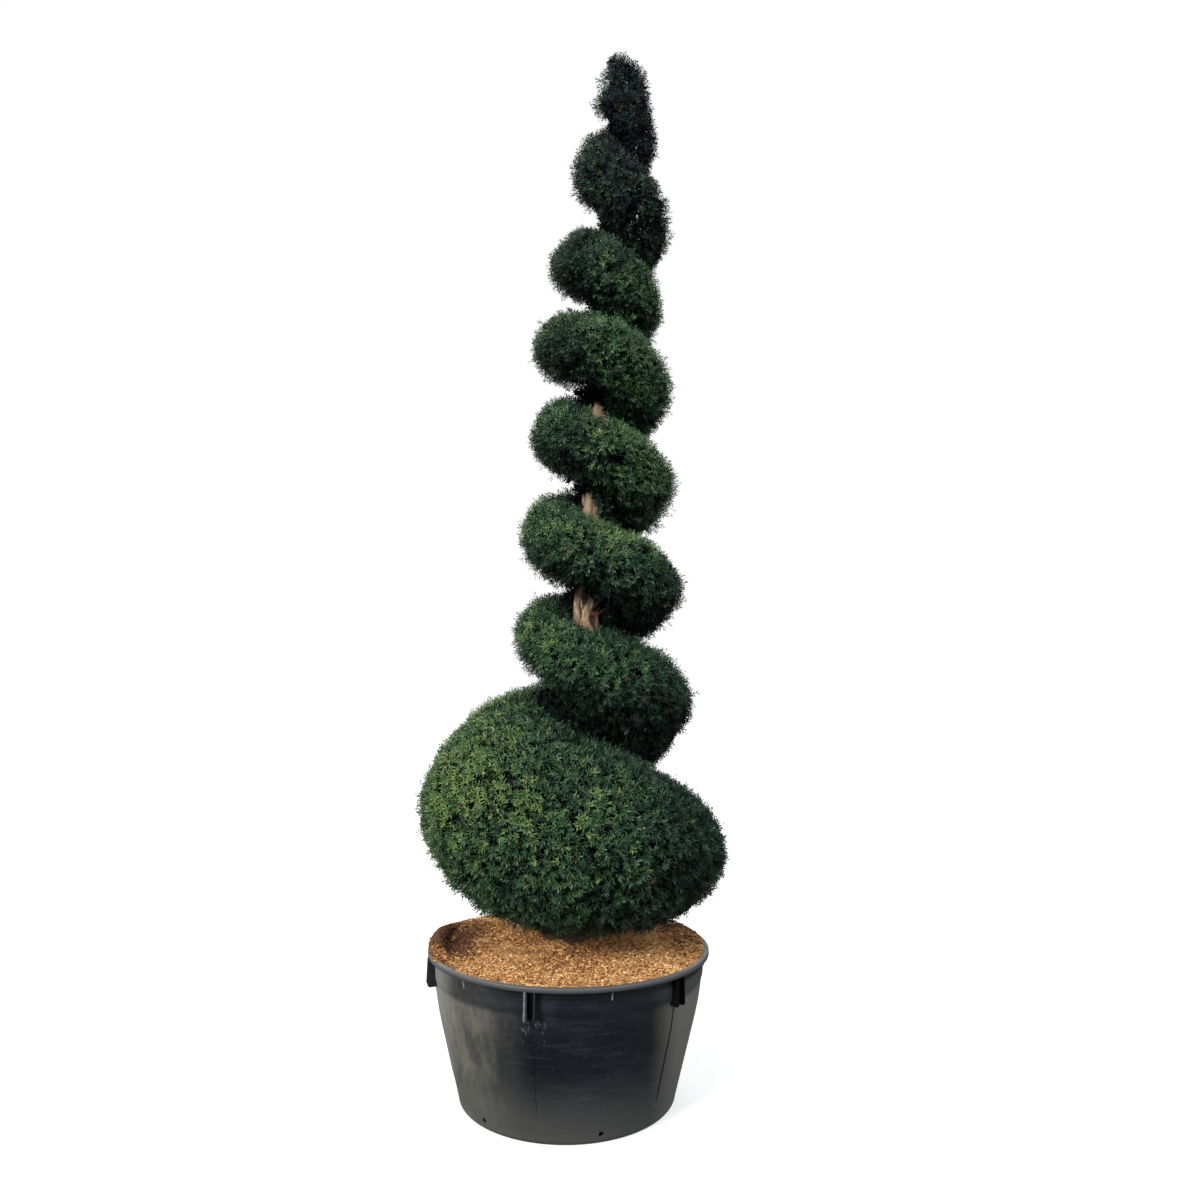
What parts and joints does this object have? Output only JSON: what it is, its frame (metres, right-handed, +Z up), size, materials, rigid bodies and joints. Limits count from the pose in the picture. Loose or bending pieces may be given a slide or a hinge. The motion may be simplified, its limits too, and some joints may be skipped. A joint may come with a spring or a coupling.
{
  "type": "potted spiral topiary",
  "caption": "Tall conifer clipped into a rising spiral round its bare stem, over a fat first turn, in a round nursery tub of bark chips.",
  "frame": {"origin": "centre of the tub's flat underside", "axes": "+Z up to the tip; the front faces -Y; +X is the right side seen from the front"},
  "size_m": [1.2726, 1.2373, 4.549],
  "materials": {
    "tub": "matte, weathered",
    "soil": "loose bark chips",
    "bark": "flaky bark",
    "foliage": "clipped needles"
  },
  "bodies": {
    "root": {"tub": "tub", "soil": "soil", "trunk": "bark", "turn_1_start": "foliage", "turn_1_right": "foliage", "turn_1_front": "foliage", "turn_1_left": "foliage", "turn_1_back": "foliage", "turn_2_right": "foliage", "turn_2_front": "foliage", "turn_2_left": "foliage", "turn_2_back": "foliage", "turn_3_right": "foliage", "turn_3_front": "foliage", "turn_3_left": "foliage", "turn_3_back": "foliage", "turn_4_right": "foliage", "turn_4_front": "foliage", "turn_4_left": "foliage", "turn_4_back": "foliage", "turn_5_right": "foliage", "turn_5_front": "foliage", "turn_5_left": "foliage", "turn_5_back": "foliage", "turn_6_right": "foliage", "turn_6_front": "foliage", "turn_6_left": "foliage", "turn_6_back": "foliage", "turn_7_right": "foliage", "turn_7_front": "foliage", "turn_7_left": "foliage", "turn_7_back": "foliage", "tip": "foliage"}
  },
  "joints": []
}
